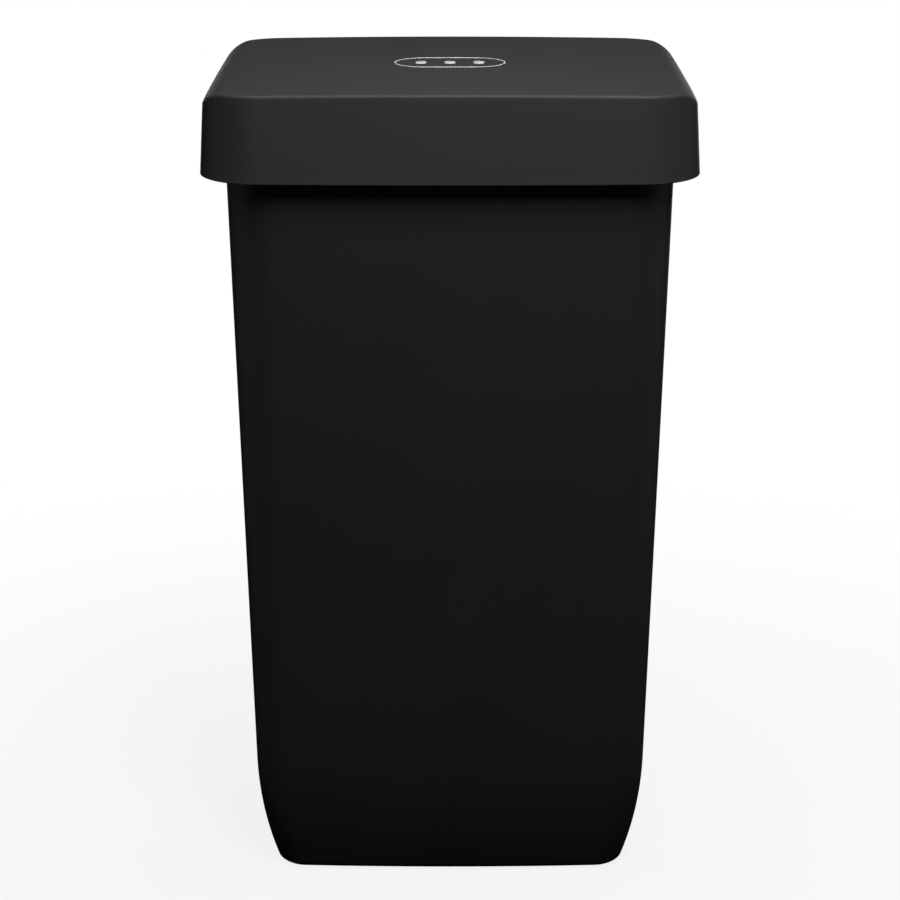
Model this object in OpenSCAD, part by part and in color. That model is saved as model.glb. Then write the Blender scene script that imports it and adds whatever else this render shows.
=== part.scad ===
// A free-standing waste bin of about 50 litres: a tapered tub with a fixed collar, a deep hinged lid,
// and a lift-out liner with a bail handle. +Z is up, the front faces -Y and the origin is on the floor,
// under the middle of the lid.

/* [Tub] */
// Outside width of the tub at its rim, in mm
tub_w = 361.5; // [300:0.5:450]
// Outside depth of the tub at its rim
tub_d = 284; // [235:1:350]
// Height of the rim above the floor
rim_h = 640; // [500:1:850]
// Wall thickness
tub_wall = 3.5; // [2.5:0.1:4.5]
// Thickness of the bottom
tub_floor = 4; // [3:0.5:8]
// Lean of the walls, in degrees
tub_draft = 1.42; // [0.8:0.01:1.8]
// Corner radius at the rim
tub_corner_r = 38; // [28:1:50]
// Corner radius at the foot
foot_corner_r = 22; // [18:1:30]
// Height up to which the walls curve in to the foot
under_h = 105; // [60:1:140]
// How far the walls curve in to the foot
under_in = 15.5; // [8:0.5:20]
// Rounding of the bottom edge
heel_r = 5.5; // [4:0.5:12]
// How far the front and side faces stand proud in their middles
face_bow = 4; // [0:0.5:5]
// How far the rim bead stands out from the wall
bead_out = 4; // [3:0.5:5]
// Height of the rim bead
bead_h = 8; // [6:1:12]

/* [Foot] */
// Thickness of the foot pads
pad_t = 2; // [1:0.5:4]
// Radius of the foot pads
pad_r = 14; // [10:1:16]
// Distance between the pad centres across the width
pad_span_x = 224; // [180:1:230]
// Distance between the pad centres across the depth
pad_span_y = 128; // [110:1:134]
// Distance between the floor bolts across the width
bolt_span_x = 150; // [110:1:170]
// Distance between the floor bolts across the depth
bolt_span_y = 80; // [60:1:90]
// Radius of the floor bolt holes
bolt_hole_r = 5.5; // [4:0.5:6.5]
// Radius of the spreader washers
washer_r = 15; // [12:1:18]
// Thickness of the spreader washers
washer_t = 2; // [1:0.5:3]

/* [Lid] */
// How far the lid's bottom edge stands out past the tub's rim
lid_overhang = 19.25; // [18:0.25:30]
// Height of the lid's top above the rim
lid_rise = 40; // [36:1:60]
// Height of the lid from its bottom edge to its top
lid_skirt = 70; // [64:1:84]
// Wall thickness of the lid
lid_wall = 3; // [2:0.1:4]
// How far the skirt leans in from its bottom to its top
lid_taper = 3.1; // [1:0.1:5]
// Corner radius of the lid in plan
lid_corner_r = 47; // [40:1:60]
// How far the front and side faces of the skirt stand proud in their middles
lid_bow = 5; // [0:0.5:6]
// Width of the rounded shoulder along each side of the top
shoulder_w = 26; // [15:1:40]
// Drop of the rounded shoulder at the side edges
shoulder_drop = 28; // [10:0.5:30]
// Extra rise of the top in its middle
lid_crown = 2.2; // [0:0.1:3]
// Rounding of the top edge
lid_edge_r = 2.5; // [1:0.1:4]

/* [Collar and seal] */
// Thickness of the collar's top plate
collar_plate = 3; // [2:0.5:4]
// Thickness of the collar's outer skirt
collar_wall = 2.5; // [2:0.1:3]
// How far the collar's outer skirt reaches below the rim
collar_drop = 18; // [14:1:19]
// How far the collar's plate reaches inwards past the tub wall, to carry the liner
collar_ledge = 8.5; // [6:0.5:12]
// Gap between the rim bead and the collar's outer skirt
collar_gap = 0.4; // [0.2:0.1:0.8]
// Width of the seal strip
seal_w = 8; // [6:1:10]
// Height of the seal strip
seal_h = 4; // [3:0.5:6]
// Wall thickness of the lid's inner panel
panel_wall = 2.5; // [2:0.1:4]
// Gap between the inner panel and the lid's shoulder
panel_gap = 1; // [0.5:0.1:2]
// Radius of the bosses that join the inner panel to the lid
boss_r = 7; // [5:1:10]
// How far those bosses are welded into the lid
boss_weld = 0.6; // [0.3:0.1:1]

/* [Hinge] */
// Distance of each hinge from the middle
hinge_x = 110; // [70:1:125]
// Height of the hinge axis above the lid's bottom edge
hinge_up = 4; // [3:0.5:5]
// Gap between the tub's wall and the round hinge ears
ear_gap = 1.5; // [1:0.1:2]
// Outer radius of the hinge ears and of the knuckle between them
ear_r = 7; // [6.5:0.1:7.5]
// Thickness of each hinge ear
ear_t = 6; // [4:0.5:8]
// Length of the knuckle between the ears
knuckle_l = 24; // [18:1:30]
// Gap at each end of the knuckle
knuckle_gap = 0.5; // [0.3:0.1:1]
// Radius of the hinge pins
pin_r = 3; // [2:0.1:3.5]
// Running clearance of a pin in its bushes
pin_play = 0.06; // [0.02:0.01:0.1]
// Wall thickness of the bushes
bush_wall = 1.44; // [1:0.01:2]
// Thickness of the bush flanges
bush_flange_t = 1; // [0.6:0.1:1.5]
// End float of the pins
pin_float = 0.3; // [0.2:0.1:0.6]
// Height of the arm's plate on the lid's skirt
arm_h = 44; // [36:1:50]
// Height of the rivets above the hinge axis
rivet_up = 35; // [30:1:38]
// Thickness of the arm's plate
arm_t = 2.5; // [2:0.1:3]

/* [Liner] */
// Gap between the liner and the collar's opening
liner_gap = 1.5; // [1:0.1:3]
// Sheet thickness of the liner
liner_t = 1.2; // [0.8:0.1:2]
// Width of the liner's flange outside the collar's opening
liner_flange = 6.5; // [4:0.5:8]
// Height of the liner's bottom above the floor
liner_bottom = 32; // [26:1:60]
// Lean of the liner's walls, in degrees
liner_draft = 1.7; // [1.5:0.1:2.5]
// Corner radius of the liner at its top
liner_corner_r = 30; // [22:1:40]
// Depth of the bail's pivots below the liner's top
bail_depth = 88; // [80:1:120]
// How far the liner lifts under the closed lid
liner_lift = 25; // [15:1:25]
// Gap between the lid's inner panel and the upright bail of the lifted liner
bail_gap = 2; // [1:0.5:10]
// Radius of the bail wire
wire_r = 2.5; // [2:0.1:3]
// Bend radius of the bail wire, at its middle
bend_r = 9; // [7:0.5:12]
// How far the bail's legs stand in from its ends
bail_in = 20; // [15:1:26]
// Radius of the bail's bosses
pivot_r = 9; // [7:0.5:11]
// Thickness of the bail's bosses
pivot_t = 3.6; // [3:0.1:5]
// Radius of the bail's grip
grip_r = 8; // [6:0.5:9]
// Length of the bail's grip
grip_l = 110; // [90:1:130]

/* [Fixings] */
// Radius of the collar screws
screw_r = 1.9; // [1.5:0.1:2.5]
// Length of the collar screws
screw_l = 8; // [6:0.5:9]
// Radius of the rivets that hold the hinge arms
rivet_r = 2; // [1.5:0.1:2.5]
// Height of the rivet and screw heads
head_h = 1.6; // [1:0.1:1.8]
// Radius of the rivet and screw heads over their shanks
head_over = 2; // [1.5:0.1:2.5]

/* [Hidden] */

$fn = 64;
corner_steps = 8;    // facets in each rounded corner of a moulded shell
side_steps = 4;      // facets along each side of a moulded shell, an even number
shoulder_power = 0.98;    // keeps the shoulder's curve short of vertical at the side edge
eps = 0.01;

lid_z = rim_h - (lid_skirt - lid_rise);    // the lid's bottom edge
lid_top = rim_h + lid_rise;
neck_z = rim_h - bead_h - bead_out;    // the underside of the rim bead
bow_run = 16;    // the height over which the bow of the tub's faces fades out below the bead
lid_a = tub_w / 2 + lid_overhang;
lid_b = tub_d / 2 + lid_overhang;

collar_a = tub_w / 2 + bead_out + collar_gap + collar_wall;
collar_b = tub_d / 2 + bead_out + collar_gap + collar_wall;
collar_r = tub_corner_r + bead_out + collar_gap + collar_wall;
collar_top = rim_h + collar_plate;
open_in = tub_wall + collar_ledge;    // the collar's opening, in from the tub's outside
open_a = tub_w / 2 - open_in;
open_b = tub_d / 2 - open_in;
open_r = tub_corner_r - open_in;

seal_in = (collar_a - open_a + liner_flange - seal_w) / 2;    // the seal, out from the opening
seal_top = collar_top + seal_h;
panel_out = seal_in + (seal_w + panel_wall) / 2;    // the panel's wall stands on the seal's middle
panel_a = open_a + panel_out;
panel_b = open_b + panel_out;
panel_r = open_r + panel_out;
panel_top = lid_surface(panel_a) - lid_wall - panel_gap;

hinge_z = lid_z + hinge_up;
hinge_y = tub_d / 2 - (rim_h - hinge_z) * tan(tub_draft) + ear_gap + ear_r;
ear_in = knuckle_l / 2 + knuckle_gap;    // the ears' inner faces, out from the hinge's middle
flange_out = ear_in + ear_t + bush_flange_t;
bush_r = pin_r + pin_play + bush_wall;

liner_a = open_a - liner_gap;
liner_b = open_b - liner_gap;
bail_z = tenth(collar_top - bail_depth);    // the wire's straights and bends meet on whole tenths
bail_l = tenth(panel_top - panel_wall - liner_lift - bail_gap - grip_r - bail_z);    // the bail's legs
bail_wall_x = liner_a - bail_depth * tan(liner_draft) - liner_t;    // the liner's inside at the pivots
bail_leg_x = tenth(bail_wall_x - bail_in);

// A value rounded to a tenth
function tenth(v) = round(v * 10) / 10;

// A value that runs from 0 at low to 1 at high and stays there
function ramp(v, low, high) = min(1, max(0, (v - low) / (high - low)));

// Height of the lid's top surface at x: a slight crown, and an elliptical shoulder along each side
function lid_surface(x) =
    let (u = ramp(abs(x), lid_a - shoulder_w, lid_a))
    lid_top - lid_crown * pow(x / lid_a, 2) - shoulder_drop * (1 - sqrt(1 - shoulder_power * u * u));

// Inside face of the lid's rear skirt at height z
function skirt_inside(z) = lid_b - lid_wall - lid_taper * (z - lid_z) / (lid_skirt - lid_wall);

// How far the tub's wall has come in from the rim at height z, by its lean and its curved foot
function tub_inset(z) = (rim_h - z) * tan(tub_draft) + under_in * pow(ramp(under_h - z, 0, under_h), 2);

// Corner radius of the tub at height z
function tub_radius(z) = foot_corner_r + (tub_corner_r - foot_corner_r) * z / rim_h;

// Bow of the tub's faces at height z: none at the rim, where the collar fits
function tub_bow(z) = face_bow * ramp(neck_z - z, 0, bow_run);

// Point t of the way round corner q of a rounded rectangle
function corner_point(a, b, r, q, t) = [
    (q == 0 || q == 3 ? 1 : -1) * (a - r) + r * cos(90 * (q + t)),
    (q < 2 ? 1 : -1) * (b - r) + r * sin(90 * (q + t))
];

// Point i of corner q, or of the straight side after it
function outline_point(a, b, r, q, i) = i <= corner_steps
    ? corner_point(a, b, r, q, i / corner_steps)
    : let (s = (i - corner_steps) / side_steps)
      corner_point(a, b, r, q, 1) * (1 - s) + corner_point(a, b, r, (q + 1) % 4, 0) * s;

// Draws the ends of the side faces and of the front face in by the bow
function bowed(p, a, b, bow) = [
    p.x - sign(p.x) * bow * abs(p.x) / a * pow(p.y / b, 2),
    p.y + (p.y < 0 ? bow * -p.y / b * pow(p.x / a, 2) : 0)
];

// A rounded rectangle of half width a and half depth b, as a list of points
function outline(a, b, r, bow = 0) = [
    for (q = [0:3], i = [0:corner_steps + side_steps - 1]) bowed(outline_point(a, b, r, q, i), a, b, bow)
];

// The same at height z
function level(a, b, r, z, bow = 0) = [for (p = outline(a, b, r, bow)) [p.x, p.y, z]];

// The tub's outline at height z, drawn in by inset
function tub_level(z, inset = 0) =
    let (d = tub_inset(z) + inset)
    level(tub_w / 2 - d, tub_d / 2 - d, tub_radius(z) - inset, z, tub_bow(z));

// A closed solid through a list of rings with equal numbers of points, flat at both ends
module loft(rings) {
    n = len(rings[0]);
    last = len(rings) - 1;
    first = corner_steps / 2;    // the end caps fan from the middle of a corner, off every straight side
    sides = [
        for (i = [0:last - 1], k = [0:n - 1])
            let (m = (k + 1) % n)
            each [
                [i * n + k, (i + 1) * n + k, (i + 1) * n + m],
                [i * n + k, (i + 1) * n + m, i * n + m]
            ]
    ];
    ends = [
        [for (k = [0:n - 1]) (k + first) % n],
        [for (k = [n - 1:-1:0]) last * n + (k + first) % n]
    ];
    polyhedron([for (r = rings) each r], concat(sides, ends));
}

// A flat rounded rectangle with true arcs
module rounded_plate(a, b, r) {
    square([2 * a, 2 * (b - r)], center = true);
    square([2 * (a - r), 2 * b], center = true);
    for (x = [-1, 1], y = [-1, 1]) {
        translate([x * (a - r), y * (b - r)]) circle(r);
    }
}

// An upright band of the given thickness inside a rounded rectangle
module band(a, b, r, t, z, h) {
    translate([0, 0, z]) linear_extrude(h) difference() {
        rounded_plate(a, b, r);
        rounded_plate(a - t, b - t, r - t);
    }
}

// A profile drawn in y and z, carried along x
module along_x(x0, x1) {
    translate([x0, 0, 0]) rotate([90, 0, 90]) linear_extrude(x1 - x0) children();
}

// A cylinder that lies along x
module rod_x(r, x0, x1, y, z) {
    translate([x0, y, z]) rotate([0, 90, 0]) cylinder(r = r, h = x1 - x0);
}

// Repeats its children for the right-hand side (1) or the left-hand side (-1)
module on_side(side) {
    mirror([side < 0 ? 1 : 0, 0, 0]) children();
}

// Runs its children at each floor bolt
module at_bolts() {
    for (x = [-1, 1], y = [-1, 1]) {
        translate([x * bolt_span_x / 2, y * bolt_span_y / 2, 0]) children();
    }
}

// Runs its children at each collar screw, with x pointing out of the collar's skirt
module at_collar_screws() {
    z = rim_h - bead_h / 2;
    for (side = [-1, 1], y = [-tub_d / 4, tub_d / 4]) {
        translate([side * collar_a, y, z]) rotate(side > 0 ? 0 : 180) children();
    }
    for (x = [-tub_w / 4, tub_w / 4]) {
        translate([x, -collar_b, z]) rotate(-90) children();
    }
    for (x = [-hinge_x / 2, hinge_x / 2]) {
        translate([x, collar_b, z]) rotate(90) children();
    }
}

// Runs its children at each rivet of the right-hand hinge, with y square to the lid's skirt
module at_rivets() {
    z = hinge_z + rivet_up;
    lean = atan(lid_taper / (lid_skirt - lid_wall));
    for (x = [-1, 1]) {
        translate([hinge_x + x * knuckle_l / 4, skirt_inside(z), z]) rotate([lean, 0, 0]) children();
    }
}

// The main shell: walls that lean in, curve under at the foot, and carry a bead round the rim
module tub() {
    heel = [for (turn = [0:30:90]) [pad_t + heel_r * (1 - cos(turn)), heel_r * (1 - sin(turn))]];
    foot = [for (i = [1:6]) heel_r + pad_t + (under_h - heel_r - pad_t) * i / 6];
    inside_z = pad_t + tub_floor;
    inner_heel_r = heel_r - tub_wall / 2;
    inner_heel = [
        for (turn = [90:-30:0])
            [inside_z + inner_heel_r * (1 - cos(turn)), inner_heel_r * (1 - sin(turn)) + tub_wall]
    ];
    color([0.13, 0.14, 0.14]) difference() {
        loft(concat(
            [for (p = heel) tub_level(p[0], p[1])],
            [for (z = foot) tub_level(z)],
            [tub_level(neck_z - bow_run), tub_level(neck_z)],
            [tub_level(rim_h - bead_h, -bead_out), tub_level(rim_h, -bead_out)],
            [tub_level(rim_h, tub_wall), tub_level(neck_z, tub_wall), tub_level(neck_z - bow_run, tub_wall)],
            [for (i = [6:-1:1]) tub_level(foot[i - 1], tub_wall)],
            [for (p = inner_heel) tub_level(p[0], p[1])]
        ));
        at_bolts() cylinder(r = bolt_hole_r, h = 4 * inside_z, center = true);
    }
}

// Four washers that spread the load of the floor bolts
module spreader_washers() {
    color([0.62, 0.63, 0.64]) at_bolts() {
        translate([0, 0, pad_t + tub_floor]) difference() {
            cylinder(r = washer_r, h = washer_t);
            translate([0, 0, -washer_t]) cylinder(r = bolt_hole_r, h = 3 * washer_t);
        }
    }
}

// A rubber pad under one corner of the foot
module foot_pad(x_side, y_side) {
    color([0.08, 0.08, 0.08]) translate([x_side * pad_span_x / 2, y_side * pad_span_y / 2, 0]) {
        cylinder(r = pad_r, h = pad_t);
    }
}

// One ear of the hinge, hanging from the collar's skirt
module ear(x0) {
    along_x(x0, x0 + ear_t) {
        translate([hinge_y, hinge_z]) circle(ear_r);
        translate([collar_b - collar_wall, hinge_z]) {
            square([hinge_y - collar_b + collar_wall, collar_top - hinge_z]);
        }
    }
}

// The frame on the rim: it carries the seal, the liner and the hinge ears
module collar() {
    ears = ear_in + ear_t;
    color([0.12, 0.12, 0.13]) difference() {
        union() {
            band(collar_a, collar_b, collar_r, collar_a - open_a, rim_h, collar_plate);
            band(collar_a, collar_b, collar_r, collar_wall, rim_h - collar_drop, collar_drop + eps);
            for (side = [-1, 1], x0 = [-ears, ear_in]) {
                ear(side * hinge_x + x0);
            }
        }
        for (middle = [-hinge_x, hinge_x]) {
            rod_x(bush_r, middle - ears - 1, middle + ears + 1, hinge_y, hinge_z);
            rod_x(ear_r + knuckle_gap, middle - ear_in, middle + ear_in, hinge_y, hinge_z);
        }
        at_collar_screws() rotate([0, 90, 0]) {
            translate([0, 0, -collar_wall - eps]) cylinder(r = screw_r, h = 2 * collar_wall);
        }
    }
}

// The screws that hold the collar to the rim bead
module collar_screws() {
    color([0.62, 0.63, 0.64]) at_collar_screws() rotate([0, 90, 0]) {
        translate([0, 0, -screw_l]) cylinder(r = screw_r, h = screw_l);
        cylinder(r1 = screw_r + head_over, r2 = screw_r, h = head_h);
    }
}

// The soft strip on which the closed lid rests
module seal_strip() {
    out = seal_in + seal_w;
    color([0.09, 0.09, 0.09]) band(open_a + out, open_b + out, open_r + out, seal_w, collar_top, seal_h);
}

// The two flanged bushes of one hinge
module hinge_bushes(side) {
    color([0.86, 0.85, 0.8]) on_side(side) for (end = [-1, 1]) {
        inner = hinge_x + end * ear_in;
        face = hinge_x + end * (ear_in + ear_t);
        outer = hinge_x + end * flange_out;
        difference() {
            union() {
                rod_x(bush_r, min(inner, face), max(inner, face), hinge_y, hinge_z);
                rod_x(ear_r - 1, min(face, outer), max(face, outer), hinge_y, hinge_z);
            }
            rod_x(pin_r + pin_play, min(inner, outer) - 1, max(inner, outer) + 1, hinge_y, hinge_z);
        }
    }
}

// The lid's outer shell, with a deep skirt and rounded side shoulders
module lid_cover() {
    top_a = lid_a - lid_taper;
    top_b = lid_b - lid_taper;
    top_r = lid_corner_r - lid_taper;
    shares = [1, 0.98, 0.96, 0.94, 0.92, 0.9, 0.88, 0.86, 0.6, 0.3];
    middle = 0.05;    // size of the flat facet in the centre, as a share of the outline
    edge = [
        for (turn = [0:30:90])
            let (d = lid_edge_r * (1 - cos(turn)))
            [for (p = outline(top_a - d, top_b - d, top_r - d, lid_bow))
                [p.x, p.y, lid_surface(p.x) - lid_edge_r * (1 - sin(turn))]]
    ];
    outside = [
        for (share = shares)
            [for (p = outline(top_a - lid_edge_r, top_b - lid_edge_r, top_r - lid_edge_r, lid_bow) * share)
                [p.x, p.y, lid_surface(p.x)]]
    ];
    inside = [
        for (i = [len(shares) - 1:-1:0])
            [for (p = outline(top_a - lid_wall, top_b - lid_wall, top_r - lid_wall, lid_bow) * shares[i])
                [p.x, p.y, lid_surface(p.x) - lid_wall]]
    ];
    facet = outline(top_a * middle, top_b * middle, top_r * middle);
    color([0.2, 0.21, 0.21]) difference() {
        loft(concat(
            [[for (p = facet) [p.x, p.y, lid_top - lid_wall]]],
            inside,
            [level(lid_a - lid_wall, lid_b - lid_wall, lid_corner_r - lid_wall, lid_z, lid_bow)],
            [level(lid_a, lid_b, lid_corner_r, lid_z, lid_bow)],
            edge,
            [for (i = [1:len(shares) - 1]) outside[i]],
            [[for (p = facet) [p.x, p.y, lid_top]]]
        ));
        for (side = [-1, 1]) {
            on_side(side) at_rivets() {
                rotate([-90, 0, 0]) cylinder(r = rivet_r, h = 4 * lid_wall, center = true);
            }
        }
    }
}

// The tray inside the lid: its wall closes on the seal, and its bosses are welded to the lid
module lid_inner_panel() {
    boss_x = panel_a / 2;
    boss_y = panel_b / 2;
    hollow = panel_top - panel_wall - seal_top;
    color([0.16, 0.16, 0.17]) {
        difference() {
            translate([0, 0, seal_top]) linear_extrude(panel_top - seal_top) {
                rounded_plate(panel_a, panel_b, panel_r);
            }
            translate([0, 0, seal_top - eps]) linear_extrude(hollow + eps) {
                rounded_plate(panel_a - panel_wall, panel_b - panel_wall, panel_r - panel_wall);
            }
        }
        for (x = [-boss_x, 0, boss_x], y = [-boss_y, boss_y]) {
            translate([x, y, panel_top - eps]) {
                cylinder(r = boss_r, h = lid_surface(x) - lid_wall + boss_weld - panel_top + eps);
            }
        }
    }
}

// The arm that joins the lid's rear skirt to the pin of one hinge
module hinge_arm(side) {
    low = hinge_z - hinge_up + 1;
    high = hinge_z + arm_h;
    color([0.6, 0.61, 0.62]) on_side(side) difference() {
        along_x(hinge_x - knuckle_l / 2, hinge_x + knuckle_l / 2) {
            translate([hinge_y, hinge_z]) circle(ear_r);
            polygon([
                [skirt_inside(low), low], [skirt_inside(high), high], [skirt_inside(high) - arm_t, high],
                [skirt_inside(hinge_z + ear_r) - arm_t, hinge_z + ear_r + arm_t], [hinge_y, hinge_z + ear_r],
                [hinge_y, low]
            ]);
        }
        rod_x(pin_r, hinge_x - knuckle_l, hinge_x + knuckle_l, hinge_y, hinge_z);
        at_rivets() rotate([-90, 0, 0]) cylinder(r = rivet_r, h = 8 * lid_wall, center = true);
    }
}

// The rivets through the lid's rear skirt, domed outside and flat inside
module hinge_rivets() {
    color([0.66, 0.67, 0.68]) for (side = [-1, 1]) {
        on_side(side) at_rivets() rotate([-90, 0, 0]) {
            translate([0, 0, -arm_t - head_h]) cylinder(r = rivet_r + 1, h = head_h);
            translate([0, 0, -arm_t - head_h]) cylinder(r = rivet_r, h = arm_t + head_h + lid_wall);
            translate([0, 0, lid_wall]) cylinder(r1 = rivet_r + head_over, r2 = rivet_r, h = head_h);
        }
    }
}

// The headed pin of one hinge, pressed into the arm's knuckle
module hinge_pin(side) {
    head_x = hinge_x - flange_out - pin_float;
    color([0.72, 0.73, 0.74]) on_side(side) {
        rod_x(pin_r, head_x, hinge_x + flange_out + pin_float + 2, hinge_y, hinge_z);
        rod_x(pin_r + head_over, head_x - head_h, head_x, hinge_y, hinge_z);
    }
}

// The push-on clips at the outer ends of the pins
module pin_clips() {
    x0 = hinge_x + flange_out + pin_float;
    color([0.5, 0.5, 0.5]) for (side = [-1, 1]) {
        on_side(side) difference() {
            rod_x(pin_r + head_over, x0, x0 + 1, hinge_y, hinge_z);
            rod_x(pin_r, x0 - 1, x0 + 2, hinge_y, hinge_z);
        }
    }
}

// The lift-out bucket, hung from its flange in the collar's opening
module liner() {
    foot_in = (collar_top - liner_bottom) * tan(liner_draft);
    foot_a = liner_a - foot_in;
    foot_b = liner_b - foot_in;
    foot_r = liner_corner_r - 4;
    heel_in = 2;
    heel_up = 3;
    inner_heel = heel_in + liner_t;
    out = liner_gap + liner_flange;
    color([0.66, 0.68, 0.7]) loft([
        level(foot_a - heel_in, foot_b - heel_in, foot_r - heel_in, liner_bottom),
        level(foot_a, foot_b, foot_r, liner_bottom + heel_up),
        level(liner_a, liner_b, liner_corner_r, collar_top),
        level(liner_a + out, liner_b + out, liner_corner_r + out, collar_top),
        level(liner_a + out, liner_b + out, liner_corner_r + out, collar_top + liner_t),
        level(liner_a - liner_t, liner_b - liner_t, liner_corner_r - liner_t, collar_top + liner_t),
        level(foot_a - liner_t, foot_b - liner_t, foot_r - liner_t, liner_bottom + heel_up + liner_t),
        level(foot_a - inner_heel, foot_b - inner_heel, foot_r - inner_heel, liner_bottom + liner_t)
    ]);
}

// The boss that carries one end of the bail
module bail_boss(side) {
    color([0.6, 0.61, 0.62]) on_side(side) difference() {
        rod_x(pivot_r, bail_wall_x - pivot_t, bail_wall_x, 0, bail_z);
        rod_x(wire_r + pin_play, bail_wall_x - 2 * pivot_t, bail_wall_x + pivot_t, 0, bail_z);
    }
}

// A quarter bend of the bail wire, in the plane of x and z
module wire_bend() {
    rotate([90, 0, 0]) rotate_extrude(angle = 90) translate([bend_r, 0]) circle(wire_r);
}

// The bent wire handle, hanging down inside the liner
module bail_wire() {
    color([0.66, 0.67, 0.69]) {
        for (side = [-1, 1]) {
            on_side(side) {
                rod_x(wire_r, bail_leg_x + bend_r, bail_wall_x - 0.5, 0, bail_z);
                translate([bail_leg_x + bend_r, 0, bail_z - bend_r]) rotate([0, -90, 0]) wire_bend();
                translate([bail_leg_x, 0, bail_z - bail_l + bend_r]) {
                    cylinder(r = wire_r, h = bail_l - 2 * bend_r);
                }
                translate([bail_leg_x - bend_r, 0, bail_z - bail_l + bend_r]) rotate([0, 90, 0]) wire_bend();
            }
        }
        rod_x(wire_r, bend_r - bail_leg_x, bail_leg_x - bend_r, 0, bail_z - bail_l);
    }
}

// The grip on the bail's crossbar
module bail_grip() {
    color([0.1, 0.1, 0.11]) difference() {
        rod_x(grip_r, -grip_l / 2, grip_l / 2, 0, bail_z - bail_l);
        rod_x(wire_r, -grip_l, grip_l, 0, bail_z - bail_l);
    }
}

tub();
spreader_washers();
foot_pad(-1, -1);  // foot_pad_front_left
foot_pad(1, -1);  // foot_pad_front_right
foot_pad(-1, 1);  // foot_pad_rear_left
foot_pad(1, 1);  // foot_pad_rear_right
collar();
collar_screws();
seal_strip();
hinge_bushes(-1);  // hinge_bushes_left
hinge_bushes(1);  // hinge_bushes_right
lid_cover();
lid_inner_panel();
hinge_arm(-1);  // hinge_arm_left
hinge_arm(1);  // hinge_arm_right
hinge_rivets();
hinge_pin(-1);  // hinge_pin_left
hinge_pin(1);  // hinge_pin_right
pin_clips();
liner();
bail_boss(-1);  // bail_boss_left
bail_boss(1);  // bail_boss_right
bail_wire();
bail_grip();
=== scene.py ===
"""A lidded waste bin: its finished surfaces, materials and stage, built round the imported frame."""

import math

import bpy
import numpy as np
from bpy.props import FloatProperty, FloatVectorProperty, PointerProperty
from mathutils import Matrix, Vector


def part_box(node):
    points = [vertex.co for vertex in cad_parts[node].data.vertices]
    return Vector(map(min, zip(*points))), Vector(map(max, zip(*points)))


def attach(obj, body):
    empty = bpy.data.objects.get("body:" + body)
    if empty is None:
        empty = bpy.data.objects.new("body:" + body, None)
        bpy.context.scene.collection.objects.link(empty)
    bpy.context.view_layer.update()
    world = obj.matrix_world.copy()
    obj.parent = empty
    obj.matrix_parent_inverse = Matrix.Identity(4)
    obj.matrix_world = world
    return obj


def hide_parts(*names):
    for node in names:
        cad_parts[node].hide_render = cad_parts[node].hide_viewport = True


bl_info = {
    "name": "Lidded Waste Bin",
    "version": (1, 0, 0),
    "blender": (4, 5, 0),
    "location": "View3D > Sidebar > Waste Bin",
    "description": "Builds a moulded waste bin with a hinged lid and a lift-out liner round its packed frame",
    "category": "Add Mesh",
}

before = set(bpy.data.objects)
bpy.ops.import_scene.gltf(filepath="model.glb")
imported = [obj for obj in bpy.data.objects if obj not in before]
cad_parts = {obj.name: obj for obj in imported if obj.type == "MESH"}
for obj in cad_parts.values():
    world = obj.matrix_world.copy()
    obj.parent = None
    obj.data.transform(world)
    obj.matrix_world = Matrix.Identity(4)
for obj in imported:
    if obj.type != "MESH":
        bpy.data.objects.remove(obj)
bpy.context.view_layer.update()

MM = 0.001
CORNER_STEPS = 20
SIDE_STEPS = 28
DISTANCE = {"unit": "LENGTH", "subtype": "DISTANCE"}
COLOUR = {"subtype": "COLOR", "size": 3, "min": 0.0, "max": 1.0}


# Sizes and colours


def length(name, description, millimetres, low=0.0, high=1000.0):
    """A distance setting, given in millimetres and kept in metres."""
    limits = {"min": low * MM, "max": high * MM}
    return FloatProperty(
        name=name, description=description, default=millimetres * MM, precision=4, **limits, **DISTANCE
    )


def tilt(name, description, degrees):
    """An angle setting, given in degrees and kept in radians."""
    return FloatProperty(
        name=name, description=description, default=math.radians(degrees), unit="ROTATION", subtype="ANGLE"
    )


def power(name, description, watts):
    """The power of a lamp."""
    return FloatProperty(name=name, description=description, default=watts, unit="POWER")


def colour(name, description, value):
    """A colour setting in linear light."""
    return FloatVectorProperty(name=name, description=description, default=value, **COLOUR)


def share(name, description, value, high=1.0):
    """A plain number setting from 0 to high."""
    return FloatProperty(
        name=name, description=description, default=value, min=0.0, max=high, subtype="FACTOR"
    )


class TubSizes(bpy.types.PropertyGroup):
    """Sizes of the tub"""

    wall: length("Wall", "Thickness of the tub's wall", 3.5)
    floor: length("Floor", "Thickness of the tub's bottom", 4.0)
    lean: tilt("Lean", "Lean of the tub's walls", 1.42)
    corner: length("Rim Corner", "Corner radius at the rim", 38.0)
    foot_corner: length("Foot Corner", "Corner radius at the foot", 22.0)
    under_height: length("Foot Curve Height", "Height up to which the walls curve in to the foot", 105.0)
    under_depth: length("Foot Curve Depth", "How far the walls curve in to the foot", 15.5)
    heel: length("Heel", "Rounding of the bottom edge", 5.5)
    bow: length("Face Bow", "How far the faces stand proud in their middles", 4.0)
    bow_run: length("Bow Run", "Height over which the bow fades out below the rim bead", 16.0)
    bead_out: length("Bead Reach", "How far the rim bead stands out from the wall", 4.0)
    bead_height: length("Bead Height", "Height of the rim bead", 8.0)
    pad: length("Pad", "Height of the foot pads under the tub", 2.0)
    bolt_hole: length("Bolt Hole", "Radius of the floor bolt holes", 5.5)


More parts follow.
